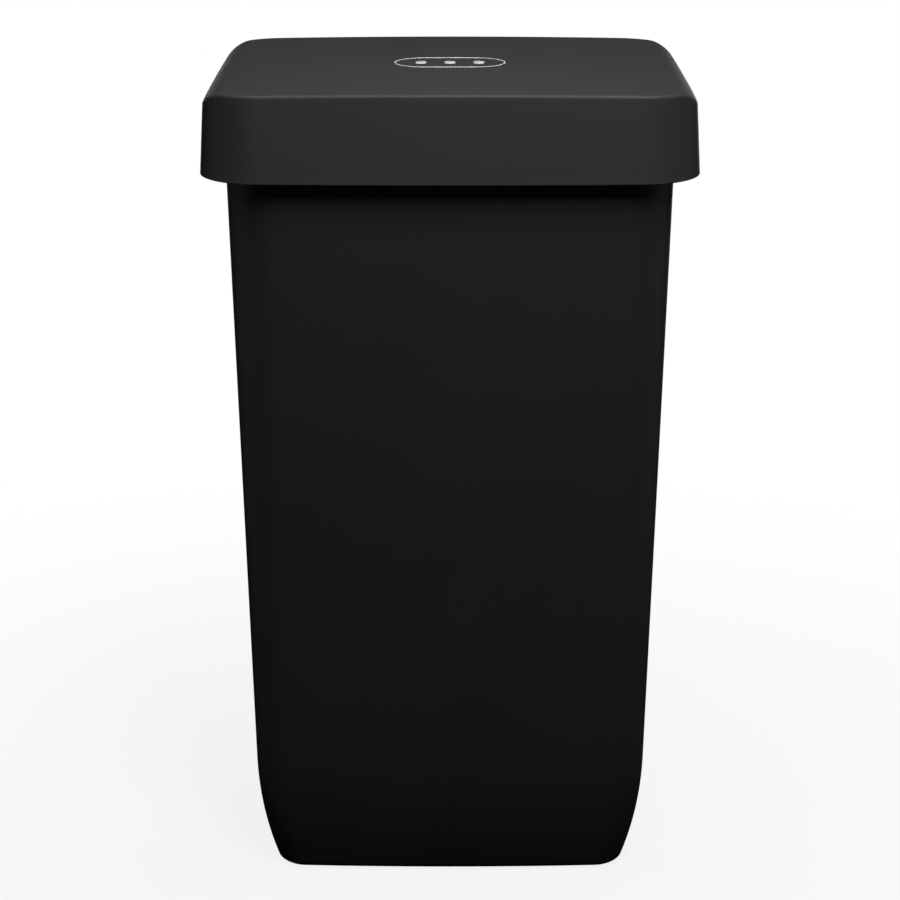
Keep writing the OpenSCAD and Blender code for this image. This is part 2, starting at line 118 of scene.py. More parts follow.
class LidSizes(bpy.types.PropertyGroup):
    """Sizes of the lid and of the tray inside it"""

    wall: length("Wall", "Thickness of the lid's wall", 3.0)
    skirt: length("Skirt", "Height of the lid from its bottom edge to its top", 70.0)
    lean: length("Skirt Lean", "How far the skirt leans in from its bottom to its top", 3.1)
    corner: length("Corner", "Corner radius of the lid in plan", 47.0)
    bow: length("Face Bow", "How far the skirt's faces stand proud in their middles", 5.0)
    shoulder: length("Shoulder Width", "Width of the rounded shoulder along each side", 26.0)
    drop: length("Shoulder Drop", "Drop of the shoulder at the side edges", 28.0)
    crown: length("Crown", "Extra rise of the top in its middle", 2.2)
    edge: length("Top Edge", "Rounding of the top edge", 2.5)
    lip: length("Lip", "Rounding of the bottom edge", 1.2)
    tray_wall: length("Tray Wall", "Thickness of the tray inside the lid", 2.5)
    tray_corner: length("Tray Corner", "Corner radius of the tray", 39.95)
    tray_field: length("Tray Field", "Height of the pressed field in the tray", 1.2)


class LinerSizes(bpy.types.PropertyGroup):
    """Sizes of the liner and of its bail"""

    sheet: length("Sheet", "Sheet thickness of the liner", 1.2)
    flange: length("Flange", "Width of the liner's flange", 8.0)
    lean: tilt("Lean", "Lean of the liner's walls", 1.7)
    corner: length("Corner", "Corner radius of the liner at its top", 30.0)
    swage: length("Swage", "Depth of the stiffening grooves pressed into the walls", 1.6)
    bend: length("Bail Bend", "Bend radius of the bail wire", 9.0)
    bail_in: length("Bail Inset", "How far the bail's legs stand in from its ends", 20.0)


class Finishes(bpy.types.PropertyGroup):
    """Colours and gloss of the materials"""

    tub: colour("Tub", "Colour of the tub's plastic", (0.0152, 0.0168, 0.0182))
    lid: colour("Lid", "Colour of the lid's plastic", (0.0325, 0.0332, 0.0335))
    inner: colour("Inner Plastic", "Colour of the collar and of the lid's tray", (0.014, 0.0145, 0.015))
    rubber: colour("Rubber", "Colour of the pads and of the seal", (0.009, 0.009, 0.0095))
    nylon: colour("Nylon", "Colour of the hinge bushes", (0.62, 0.6, 0.53))
    steel: colour("Plated Steel", "Colour of the zinc-plated fittings", (0.46, 0.47, 0.48))
    zinc: colour("Galvanised Sheet", "Colour of the liner and of its bail", (0.4, 0.42, 0.44))
    grip: colour("Grip", "Colour of the bail's grip", (0.012, 0.012, 0.013))
    ink: colour("Printed Mark", "Colour of the mark printed on the lid", (0.8, 0.8, 0.78))
    tub_gloss: share("Tub Roughness", "Surface roughness of the tub", 0.64)
    lid_gloss: share("Lid Roughness", "Surface roughness of the lid", 0.66)
    dust: share("Dust", "Amount of fine dust on upward faces", 0.008)


class StageSettings(bpy.types.PropertyGroup):
    """Lights, floor and camera"""

    key_power: power("Key Light", "Power of the soft light above the front", 14.4)
    top_power: power("Top Light", "Power of the soft light overhead", 11.5)
    rear_power: power("Rear Lights", "Power of the two low lights behind the bin", 6.5)
    side_power: power("Side Lights", "Power of the two low lights beside the bin", 0.8)
    ambient: share("Ambient", "Brightness of the surroundings as the bin sees them", 0.003)
    card: share("Front Card", "Brightness of the pale card that the front mirrors", 0.04, 4.0)
    floor: colour("Floor", "Colour of the floor", (0.86, 0.86, 0.86))
    lens: FloatProperty(name="Lens", description="Focal length of the camera", default=100.0, unit="CAMERA")
    pitch: tilt("Pitch", "How far the camera looks down", 17.5)
    camera_back: length(
        "Camera Distance", "Distance of the camera in front of the origin", 2060.85, high=10000.0
    )
    camera_up: length("Camera Height", "Height of the camera above the floor", 995.7, high=10000.0)


class WasteBinSettings(bpy.types.PropertyGroup):
    """All settings of the waste bin"""

    tub: PointerProperty(type=TubSizes)
    lid: PointerProperty(type=LidSizes)
    liner: PointerProperty(type=LinerSizes)
    finish: PointerProperty(type=Finishes)
    stage: PointerProperty(type=StageSettings)


# Shapes


def ramp(value, low, high):
    """A value that runs from 0 at low to 1 at high and stays there."""
    return np.clip((value - low) / (high - low), 0.0, 1.0)


def smooth(value, low, high):
    """The same with a soft start and end: 3 t^2 - 2 t^3."""
    t = ramp(value, low, high)
    return t * t * (3.0 - 2.0 * t)


def outline(a, b, r, bow=0.0):
    """Points round a rounded rectangle of half width a, half depth b and corner radius r.

    Each corner is a quarter circle and each side a straight run of equal steps. The ends of the side faces
    are then drawn in by bow * (y / b)^2, and those of the front face by bow * (x / a)^2.
    """
    turn = np.linspace(0.0, 0.5 * np.pi, CORNER_STEPS + 1)
    run = np.linspace(0.0, 1.0, SIDE_STEPS + 1)[1:-1, None]
    corners = []
    for quarter, (side_x, side_y) in enumerate(((1, 1), (-1, 1), (-1, -1), (1, -1))):
        angle = turn + 0.5 * np.pi * quarter
        middle = np.array((side_x * (a - r), side_y * (b - r)))
        corners.append(middle + r * np.stack((np.cos(angle), np.sin(angle)), axis=1))
    parts = []
    for here, after in zip(corners, corners[1:] + corners[:1]):
        parts += [here, here[-1] * (1.0 - run) + after[0] * run]
    x, y = np.concatenate(parts).T
    drawn_x = x - bow * x / a * (y / b) ** 2
    drawn_y = y - np.where(y < 0.0, bow * y / b * (x / a) ** 2, 0.0)
    return np.stack((drawn_x, drawn_y), axis=1)


def level(a, b, r, z, bow=0.0):
    """The same outline as points in space at height z, which may be one height for each point."""
    flat = outline(a, b, r, bow)
    return np.column_stack((flat, np.broadcast_to(z, len(flat))))


def between(first, last, steps):
    """Rings spaced evenly on the straight lines from the points of one ring to those of another."""
    t = np.linspace(0.0, 1.0, steps)[:, None, None]
    return first * (1.0 - t) + last * t


def lathe(profile, steps=48):
    """A profile of (radius, height) pairs turned about z, as rings."""
    angle = np.linspace(0.0, 2.0 * np.pi, steps, endpoint=False)
    radius, height = np.asarray(profile, float).T
    radius = radius[:, None]
    up = np.repeat(height[:, None], steps, axis=1)
    return np.stack((radius * np.cos(angle), radius * np.sin(angle), up), axis=-1)


def turned_to(rings, axis, place):
    """Rings made about z, with z laid along the unit vector axis, and their origin moved to place."""
    axis = np.asarray(axis, float) / np.linalg.norm(axis)
    helper = np.array((1.0, 0.0, 0.0)) if abs(axis[0]) < 0.9 else np.array((0.0, 1.0, 0.0))
    across = np.cross(helper, axis)
    across /= np.linalg.norm(across)
    basis = np.stack((across, np.cross(axis, across), axis))
    return rings @ basis + np.asarray(place, float)


def quads(rows, columns, closed_rows):
    """Faces of a grid whose columns meet round a ring, and whose rows meet too when closed_rows is true."""
    row = np.arange(rows if closed_rows else rows - 1)[:, None] * columns
    column = np.arange(columns)[None, :]
    after = (column + 1) % columns
    above = (row + columns) % (rows * columns)
    return np.stack((row + column, row + after, above + after, above + column), axis=-1).reshape(-1, 4)


def skin(rings, closed_rows=False):
    """Vertices and faces of a closed surface through rings; the open ends are fans about their middles."""
    rings = np.asarray(rings)
    rows, columns = rings.shape[:2]
    vertices = rings.reshape(-1, 3)
    faces = quads(rows, columns, closed_rows).tolist()
    if closed_rows:
        return vertices, faces
    start, end = len(vertices), len(vertices) + 1
    column = np.arange(columns)
    after = (column + 1) % columns
    last = (rows - 1) * columns
    faces += np.stack((np.full(columns, start), after, column), axis=1).tolist()
    faces += np.stack((np.full(columns, end), last + column, last + after), axis=1).tolist()
    return np.concatenate((vertices, rings[[0, -1]].mean(axis=1))), faces


def joined(parts):
    """Several skins as one."""
    vertices, faces, count = [], [], 0
    for points, shapes in parts:
        vertices.append(points)
        faces += [[corner + count for corner in shape] for shape in shapes]
        count += len(points)
    return np.concatenate(vertices), faces


def piece(name, surface, body, slot, replaces=(), rub=None, look=None):
    """Makes a finished piece of a surface with its slot's material, ties it to its body and hides the CAD
    nodes it replaces.

    rub is an optional value for each vertex, from 0 on open faces to 1 where hands and cloths rub.
    look names a material other than the slot's own.
    """
    material = finish(look or slot)
    vertices, faces = surface
    mesh = bpy.data.meshes.new(name)
    mesh.from_pydata(vertices.tolist(), [], faces)
    mesh.polygons.foreach_set("use_smooth", np.ones(len(mesh.polygons), bool))
    mark = mesh.attributes.new("rub", "FLOAT", "POINT")
    mark.data.foreach_set("value", np.zeros(len(vertices)) if rub is None else rub)
    mesh.materials.append(material)
    mesh.validate()
    mesh.update()
    made = bpy.data.objects.new(name, mesh)
    bpy.context.scene.collection.objects.link(made)
    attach(made, body)
    if replaces:
        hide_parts(*replaces)
    return made


def weigh_normals(made):
    """Lets the broad faces of a piece keep their own shading beside narrow rounded edges."""
    weighted = made.modifiers.new("Even Shading", "WEIGHTED_NORMAL")
    weighted.weight = 80
    weighted.keep_sharp = False


def rounded(points, radius, steps=5):
    """An open profile with each inner corner drawn as a curve that starts and ends radius away from it.

    The curve from p to q round the corner c is (1 - t)^2 p + 2 t (1 - t) c + t^2 q.
    """
    points = np.asarray(points, float)
    radius = np.broadcast_to(radius, len(points) - 2)
    t = np.linspace(0.0, 1.0, steps)[:, None]
    out = [points[:1]]
    for before, corner, after, reach in zip(points, points[1:], points[2:], radius):
        start = corner + (before - corner) * min(0.5, reach / np.linalg.norm(before - corner))
        stop = corner + (after - corner) * min(0.5, reach / np.linalg.norm(after - corner))
        out.append((1.0 - t) ** 2 * start + 2.0 * t * (1.0 - t) * corner + t**2 * stop)
    out.append(points[-1:])
    return np.concatenate(out)


# Shader building


def add(tree, kind, inputs=None, **settings):
    """Adds a node. inputs gives, by socket name or number, a value or the output that feeds the socket."""
    made = tree.nodes.new(kind)
    for key, value in settings.items():
        setattr(made, key, value)
    for key, value in (inputs or {}).items():
        if isinstance(value, bpy.types.NodeSocket):
            tree.links.new(value, made.inputs[key])
        else:
            made.inputs[key].default_value = value
    return made


def maths(tree, operation, first, second=0.0, clamp=False):
    """The output of a Math node."""
    return add(tree, "ShaderNodeMath", {0: first, 1: second}, operation=operation, use_clamp=clamp).outputs[0]


def vectors(tree, operation, first, second=(0.0, 0.0, 0.0), output=0):
    """An output of a Vector Math node."""
    return add(tree, "ShaderNodeVectorMath", {0: first, 1: second}, operation=operation).outputs[output]


def map_range(tree, value, low, high, out_low=0.0, out_high=1.0):
    """The output of a smooth Map Range node."""
    sockets = {"Value": value, "From Min": low, "From Max": high, "To Min": out_low, "To Max": out_high}
    return add(tree, "ShaderNodeMapRange", sockets, interpolation_type="SMOOTHSTEP").outputs[0]


def blended(tree, factor, first, second):
    """The output of a Mix node between two colours."""
    return add(tree, "ShaderNodeMix", {0: factor, 6: first, 7: second}, data_type="RGBA").outputs[2]


def noise(tree, vector, scale, detail=2.0, roughness=0.5):
    """The value of a Noise Texture node."""
    return add(
        tree, "ShaderNodeTexNoise",
        {"Vector": vector, "Scale": scale, "Detail": detail, "Roughness": roughness},
    ).outputs[0]


def new_group(name, inputs, outputs):
    """An empty shader node group with the given inputs, as {name: default}, and outputs of single values."""
    tree = bpy.data.node_groups.new(name, "ShaderNodeTree")
    for label, default in inputs.items():
        kind = "NodeSocketVector" if default is None else "NodeSocketFloat"
        socket = tree.interface.new_socket(label, in_out="INPUT", socket_type=kind)
        if default is not None:
            socket.default_value = default
    for label in outputs:
        tree.interface.new_socket(label, in_out="OUTPUT", socket_type="NodeSocketFloat")
    return tree, tree.nodes.new("NodeGroupInput").outputs, tree.nodes.new("NodeGroupOutput")


def grain_group():
    """Moulded grain: a fine leathery texture, and slow clouds where the melt cooled unevenly."""
    inputs = {"Vector": None, "Grain": 900.0, "Clouds": 6.0}
    tree, given, out = new_group("Moulded Grain", inputs, ["Height", "Clouds"])
    fine = noise(tree, given["Vector"], given["Grain"], 3.0, 0.55)
    cells = add(
        tree, "ShaderNodeTexVoronoi",
        {"Vector": given["Vector"], "Scale": given["Grain"]}, feature="SMOOTH_F1",
    ).outputs[0]
    height = maths(tree, "MULTIPLY_ADD", cells, 0.6)
    tree.links.new(fine, height.node.inputs[2])
    tree.links.new(height, out.inputs["Height"])
    tree.links.new(noise(tree, given["Vector"], given["Clouds"], 4.0, 0.55), out.inputs["Clouds"])
    return tree


def scuff_group():
    """Handling marks: faint scratches in two directions, broken up into patches."""
    tree, given, out = new_group("Handling Marks", {"Vector": None, "Spread": 9.0, "Amount": 1.0}, ["Mask"])
    strands = []
    for turn, stretch in ((0.35, (60.0, 900.0, 60.0)), (-0.6, (900.0, 70.0, 140.0))):
        turned = add(
            tree,
            "ShaderNodeMapping",
            {"Vector": given["Vector"], "Rotation": (0.3 * turn, turn, turn), "Scale": stretch},
        ).outputs[0]
        strands.append(map_range(tree, noise(tree, turned, 1.0, 1.0), 0.66, 0.74))
    lines = maths(tree, "ADD", strands[0], strands[1], clamp=True)
    patches = map_range(tree, noise(tree, given["Vector"], given["Spread"], 2.0), 0.5, 0.68)
    shown = maths(tree, "MULTIPLY", lines, patches)
    tree.links.new(maths(tree, "MULTIPLY", shown, given["Amount"]), out.inputs["Mask"])
    return tree


def dust_group():
    """Settled dust: strongest on faces that look up, gathered in soft drifts."""
    tree, given, out = new_group("Settled Dust", {"Vector": None, "Normal": None, "Amount": 0.1}, ["Mask"])
    up = add(tree, "ShaderNodeSeparateXYZ", {0: given["Normal"]}).outputs["Z"]
    facing = map_range(tree, up, 0.35, 1.0)
    drifts = map_range(tree, noise(tree, given["Vector"], 14.0, 5.0, 0.6), 0.3, 0.8, 0.25, 1.0)
    specks = map_range(tree, noise(tree, given["Vector"], 1400.0, 1.0), 0.62, 0.75, 0.6, 1.0)
    amount = maths(tree, "MULTIPLY", maths(tree, "MULTIPLY", drifts, specks), given["Amount"])
    tree.links.new(maths(tree, "MULTIPLY", facing, amount), out.inputs["Mask"])
    return tree


def spangle_group():
    """Zinc spangle: flat crystals that each take the light in their own way, with raised borders."""
    tree, given, out = new_group("Zinc Spangle", {"Vector": None, "Crystals": 110.0}, ["Tone", "Height"])
    waves = add(tree, "ShaderNodeTexNoise", {"Vector": given["Vector"], "Scale": 60.0, "Detail": 3.0})
    moved = vectors(tree, "MULTIPLY", waves.outputs["Color"], (0.006, 0.006, 0.006))
    place = vectors(tree, "ADD", given["Vector"], moved)
    crystals = add(tree, "ShaderNodeTexVoronoi", {"Vector": place, "Scale": given["Crystals"]})
    tone = add(tree, "ShaderNodeSeparateColor", {0: crystals.outputs["Color"]}).outputs[0]
    streaks = noise(tree, place, 420.0, 4.0, 0.6)
    plain, lined = maths(tree, "MULTIPLY", tone, 0.7), maths(tree, "MULTIPLY", streaks, 0.3)
    tree.links.new(maths(tree, "ADD", plain, lined), out.inputs["Tone"])
    tree.links.new(crystals.outputs["Distance"], out.inputs["Height"])
    return tree


def brushed_group():
    """Rolled or drawn metal: fine lines along one direction, and slow stains of handling."""
    tree, given, out = new_group("Drawn Metal", {"Vector": None, "Lines": 1500.0}, ["Lines", "Stains"])
    stretched = vectors(tree, "MULTIPLY", given["Vector"], (0.03, 1.0, 1.0))
    tree.links.new(noise(tree, stretched, given["Lines"], 3.0, 0.6), out.inputs["Lines"])
    tree.links.new(noise(tree, given["Vector"], 35.0, 4.0, 0.6), out.inputs["Stains"])
    return tree


GROUP_MAKERS = {
    "Moulded Grain": grain_group,
    "Handling Marks": scuff_group,
    "Settled Dust": dust_group,
    "Zinc Spangle": spangle_group,
    "Drawn Metal": brushed_group,
}


def use_group(tree, name, inputs):
    """Places a shared node group in a material, and makes the group the first time."""
    shared = bpy.data.node_groups.get(name) or GROUP_MAKERS[name]()
    made = tree.nodes.new("ShaderNodeGroup")
    made.node_tree = shared
    for key, value in inputs.items():
        if isinstance(value, bpy.types.NodeSocket):
            tree.links.new(value, made.inputs[key])
        else:
            made.inputs[key].default_value = value
    return made.outputs


def start_material(name, **constants):
    """A new material, with plain numbers set straight on its Principled BSDF."""
    made = bpy.data.materials.new(name)
    made.use_nodes = True
    tree = made.node_tree
    shader = tree.nodes["Principled BSDF"]
    for key, value in constants.items():
        shader.inputs[key.replace("_", " ")].default_value = value
    coordinates = tree.nodes.new("ShaderNodeTexCoord")
    moved = {"Vector": coordinates.outputs["Object"], "Location": (0.37, 0.21, 0.53)}
    place = add(tree, "ShaderNodeMapping", moved).outputs[0]
    return made, tree, shader, place, coordinates.outputs["Normal"]


def bump(tree, shader, height, strength, distance):
    """Feeds a height to the shader's normal."""
    made = add(tree, "ShaderNodeBump", {"Height": height, "Strength": strength, "Distance": distance})
    tree.links.new(made.outputs[0], shader.inputs["Normal"])


def solid(value, gain=1.0):
    """A colour setting as four numbers, made lighter or darker by gain."""
    return (*[min(1.0, part * gain) for part in value], 1.0)


def moulded_plastic(name, tone, roughness, grain=1100.0, depth=0.12, dust=0.0, scuffs=0.5, rub=0.5):
    """Moulded polypropylene: fine grain, clouds of gloss, faint handling marks, dust and rubbed edges."""
    made, tree, shader, place, normal = start_material(name)
    grained = use_group(tree, "Moulded Grain", {"Vector": place, "Grain": grain, "Clouds": 7.0})
    marks = use_group(tree, "Handling Marks", {"Vector": place, "Spread": 8.0, "Amount": scuffs})
    settled = use_group(tree, "Settled Dust", {"Vector": place, "Normal": normal, "Amount": dust})
    clouded = blended(tree, grained["Clouds"], solid(tone, 0.94), solid(tone, 1.06))
    marked = blended(tree, maths(tree, "MULTIPLY", marks["Mask"], 0.12), clouded, solid(tone, 2.6))
    worn_edges = add(tree, "ShaderNodeAttribute", attribute_name="rub").outputs["Fac"]
    rubbed_mask = maths(tree, "MULTIPLY", worn_edges, rub)
    rubbed = blended(tree, rubbed_mask, marked, solid(tone, 1.8))
    dusted = blended(tree, settled["Mask"], rubbed, (0.3, 0.29, 0.27, 1.0))
    tree.links.new(dusted, shader.inputs["Base Color"])
    gloss = map_range(tree, grained["Clouds"], 0.3, 0.7, roughness - 0.03, roughness + 0.03)
    worn = maths(tree, "MULTIPLY_ADD", marks["Mask"], 0.12)
    tree.links.new(gloss, worn.node.inputs[2])
    polished = maths(tree, "MULTIPLY_ADD", rubbed_mask, -0.12)
    tree.links.new(worn, polished.node.inputs[2])
    tree.links.new(polished, shader.inputs["Roughness"])
    bump(tree, shader, grained["Height"], depth, 0.0002)
    return made


def soft_rubber(name, tone):
    """Extruded rubber: matt, with a bloom of chalky grey and a fine orange-peel texture."""
    made, tree, shader, place, normal = start_material(name, Specular_IOR_Level=0.25)
    grained = use_group(tree, "Moulded Grain", {"Vector": place, "Grain": 1600.0, "Clouds": 30.0})
    settled = use_group(tree, "Settled Dust", {"Vector": place, "Normal": normal, "Amount": 0.06})
    bloom = blended(tree, grained["Clouds"], solid(tone), solid(tone, 1.9))
    dusted = blended(tree, settled["Mask"], bloom, (0.25, 0.24, 0.22, 1.0))
    tree.links.new(dusted, shader.inputs["Base Color"])
    tree.links.new(map_range(tree, grained["Clouds"], 0.3, 0.7, 0.72, 0.86), shader.inputs["Roughness"])
    bump(tree, shader, grained["Height"], 0.2, 0.0002)
    return made


def natural_nylon(name, tone):
    """Turned nylon: waxy and slightly yellowed, with fine turning marks."""
    made, tree, shader, place, _ = start_material(name, Subsurface_Weight=0.15, Subsurface_Scale=0.002)
    lines = use_group(tree, "Drawn Metal", {"Vector": place, "Lines": 2400.0})
    stained = blended(tree, lines["Stains"], solid(tone, 0.86), solid(tone, 1.05))
    tree.links.new(stained, shader.inputs["Base Color"])
    tree.links.new(map_range(tree, lines["Stains"], 0.3, 0.7, 0.36, 0.46), shader.inputs["Roughness"])
    bump(tree, shader, lines["Lines"], 0.12, 0.0001)
    return made


def plated_steel(name, tone):
    """Zinc-plated steel: drawn lines, a faint blue passivation and dull handling stains."""
    made, tree, shader, place, _ = start_material(name)
    lines = use_group(tree, "Drawn Metal", {"Vector": place, "Lines": 1800.0})
    marks = use_group(tree, "Handling Marks", {"Vector": place, "Spread": 40.0, "Amount": 0.8})
    blue = (tone[0] * 0.86, tone[1] * 0.93, min(1.0, tone[2] * 1.06), 1.0)
    stained = blended(tree, lines["Stains"], solid(tone, 1.08), blue)
    marked = blended(tree, maths(tree, "MULTIPLY", marks["Mask"], 0.4), stained, solid(tone, 0.55))
    tree.links.new(marked, shader.inputs["Base Color"])
    shader.inputs["Metallic"].default_value = 1.0
    tree.links.new(map_range(tree, lines["Stains"], 0.3, 0.7, 0.3, 0.44), shader.inputs["Roughness"])
    bump(tree, shader, lines["Lines"], 0.15, 0.0001)
    return made


def galvanised(name, tone):
    """Hot-dip galvanised sheet: spangled crystals, dull white bloom and scratches from use."""
    made, tree, shader, place, _ = start_material(name)
    crystals = use_group(tree, "Zinc Spangle", {"Vector": place, "Crystals": 120.0})
    marks = use_group(tree, "Handling Marks", {"Vector": place, "Spread": 12.0, "Amount": 0.9})
    clouds = use_group(tree, "Moulded Grain", {"Vector": place, "Grain": 700.0, "Clouds": 11.0})
    spread = map_range(tree, crystals["Tone"], 0.15, 0.85)
    tones = blended(tree, spread, solid(tone, 0.82), solid(tone, 1.16))
    white = map_range(tree, clouds["Clouds"], 0.52, 0.75, 0.0, 0.25)
    bloomed = blended(tree, white, tones, (0.5, 0.51, 0.52, 1.0))
    marked = blended(tree, maths(tree, "MULTIPLY", marks["Mask"], 0.35), bloomed, solid(tone, 1.5))
    tree.links.new(marked, shader.inputs["Base Color"])
    shader.inputs["Metallic"].default_value = 0.9
    gloss = map_range(tree, crystals["Tone"], 0.15, 0.85, 0.36, 0.46)
    tree.links.new(gloss, shader.inputs["Roughness"])
    bump(tree, shader, crystals["Height"], 0.08, 0.0004)
    return made


def printed_ink(name, tone):
    """Pad-printed ink: slightly uneven cover with a few pinholes."""
    made, tree, shader, place, _ = start_material(name, Specular_IOR_Level=0.3)
    clouds = use_group(tree, "Moulded Grain", {"Vector": place, "Grain": 2600.0, "Clouds": 60.0})
    worn = map_range(tree, clouds["Height"], 0.2, 0.3)
    tree.links.new(blended(tree, worn, solid(tone, 0.7), solid(tone)), shader.inputs["Base Color"])
    tree.links.new(map_range(tree, clouds["Clouds"], 0.3, 0.7, 0.42, 0.55), shader.inputs["Roughness"])
    bump(tree, shader, clouds["Height"], 0.05, 0.0001)
    return made


def finish(slot):
    """The finished material for a slot of the bin, made the first time it is asked for."""
    name = f"finished_{slot}"
    made = bpy.data.materials.get(name)
    if made:
        return made
    tone = bpy.context.scene.waste_bin.finish
    makers = {
        "tub_plastic": lambda: moulded_plastic(
            name, tone.tub, tone.tub_gloss, dust=0.5 * tone.dust, scuffs=0.35
        ),
        "lid_plastic": lambda: moulded_plastic(name, tone.lid, tone.lid_gloss, dust=tone.dust, scuffs=0.3),
        "inner_plastic": lambda: moulded_plastic(name, tone.inner, 0.56, 800.0, 0.2, tone.dust, 0.6, 0.6),
        "grip_plastic": lambda: moulded_plastic(name, tone.grip, 0.6, 700.0, 0.3, 0.0, 0.6, 0.8),
        "rubber": lambda: soft_rubber(name, tone.rubber),
        "nylon": lambda: natural_nylon(name, tone.nylon),
        "steel": lambda: plated_steel(name, tone.steel),
        "galvanised_steel": lambda: galvanised(name, tone.zinc),
        "ink": lambda: printed_ink(name, tone.ink),
    }
    return makers[slot]()


# Pieces


def tub_ring(z, inset):
    """The tub's outline at height z, drawn in by inset.

    The wall comes in by (rim - z) tan(lean) and, below the foot curve's height h, by its depth times
    ((h - z) / h)^2. The bow of the faces fades out just below the rim bead.
    """
    size = bpy.context.scene.waste_bin.tub
    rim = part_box("tub")[1]
    half_width, half_depth = rim.x - size.bead_out, rim.y - size.bead_out
    curve = size.under_depth * ramp(size.under_height - z, 0.0, size.under_height) ** 2
    came_in = (rim.z - z) * math.tan(size.lean) + curve
    neck = rim.z - size.bead_height - size.bead_out
    radius = size.foot_corner + (size.corner - size.foot_corner) * z / rim.z
    drawn = came_in + inset
    bow = size.bow * ramp(neck - z, 0.0, size.bow_run)
    return level(half_width - drawn, half_depth - drawn, radius - inset, z, bow)


class WASTE_BIN_OT_tub(bpy.types.Operator):
    """Builds the tapered tub with its curved foot, rim bead and floor bolt holes"""

    bl_idname = "waste_bin.tub"
    bl_label = "Build Tub"

    def execute(self, context):
        size = context.scene.waste_bin.tub
        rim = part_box("tub")[1].z
        neck = rim - size.bead_height - size.bead_out
        heel = np.linspace(0.0, 0.5 * np.pi, 8)
        heights = np.concatenate((
            np.linspace(size.pad + size.heel, size.under_height, 24)[:-1],
            np.linspace(size.under_height, neck - size.bow_run, 22)[:-1],
            np.linspace(neck - size.bow_run, neck, 8),
        ))
        bead_turn = size.bead_height * 0.18
        inner_heel = size.heel - 0.5 * size.wall
        floor_top = size.pad + size.floor
        profile = [
            (size.pad + size.heel * (1 - math.cos(t)), size.heel * (1 - math.sin(t)), 0.0) for t in heel[:-1]
        ]
        profile += [(z, 0.0, 0.0) for z in heights]
        bead = [(rim - size.bead_height, -size.bead_out), (rim, -size.bead_out)]
        corners = rounded([(neck, 0.0), *bead, (rim, size.wall), (neck, size.wall)], bead_turn)
        profile += [(z, inset, 0.6) for z, inset in corners[1:-1]]
        profile += [(z, size.wall, 0.0) for z in heights[::-1] if z > floor_top + inner_heel]
        profile += [
            (floor_top + inner_heel * (1 - math.cos(t)), size.wall + inner_heel * (1 - math.sin(t)), 0.0)
            for t in heel[::-1]
        ]
        rings = np.stack([tub_ring(z, inset) for z, inset, _ in profile])
        flat = np.linspace(0.8, 0.1, 6)
        rings = np.concatenate((
            np.stack([rings[0] * (part, part, 1.0) for part in flat[::-1]]),
            rings,
            np.stack([rings[-1] * (part, part, 1.0) for part in flat]),
        ))
        worn = np.concatenate((np.zeros(6), [mark for _, _, mark in profile], np.zeros(6)))
        rub = np.append(np.repeat(worn, rings.shape[1]), (0.0, 0.0))
        made = piece("tub_shell", skin(rings), "bin", "tub_plastic", ["tub"], rub)
        self.drill(made, size)
        weigh_normals(made)
        return {"FINISHED"}

    def drill(self, made, size):
        """Cuts the floor bolt holes, one under each spreader washer."""
        low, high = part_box("spreader_washers")
        washer = 15.0 * MM
        reach_x, reach_y = high.x - washer, high.y - washer
        rod = lathe([(size.bolt_hole, -0.01), (size.bolt_hole, 0.03)])
        cutters = [skin(rod + (x, y, 0.0)) for x in (-reach_x, reach_x) for y in (-reach_y, reach_y)]
        vertices, faces = joined(cutters)
        mesh = bpy.data.meshes.new("bolt_hole_cutters")
        mesh.from_pydata(vertices.tolist(), [], faces)
        cutter = bpy.data.objects.new("bolt_hole_cutters", mesh)
        bpy.context.scene.collection.objects.link(cutter)
        cut = made.modifiers.new("Bolt Holes", "BOOLEAN")
        cut.operation, cut.solver, cut.object = "DIFFERENCE", "EXACT", cutter
        ready = made.evaluated_get(bpy.context.evaluated_depsgraph_get())
        drilled = bpy.data.meshes.new_from_object(ready)
        made.modifiers.remove(cut)
        made.data = drilled
        bpy.data.objects.remove(cutter)


def lid_height(x):
    """Height of the lid's top at x: a slight crown, and an elliptical shoulder along each side.

    With u from 0 where the shoulder starts to 1 at the side, the shoulder falls by
    drop (1 - sqrt(1 - 0.98 u^2)).
    """
    size = bpy.context.scene.waste_bin.lid
    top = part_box("lid_cover")[1]
    u = ramp(np.abs(x), top.x - size.shoulder, top.x)
    return top.z - size.crown * (x / top.x) ** 2 - size.drop * (1.0 - np.sqrt(1.0 - 0.98 * u * u))


def lid_top_ring(inset, down, part=1.0):
    """The lid's upper outline drawn in by inset, then shrunk to the given part, at down below the top."""
    size = bpy.context.scene.waste_bin.lid
    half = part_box("lid_cover")[1]
    drawn = size.lean + inset
    flat = outline(half.x - drawn, half.y - drawn, size.corner - drawn, size.bow) * part
    return np.column_stack((flat, lid_height(flat[:, 0]) - down))


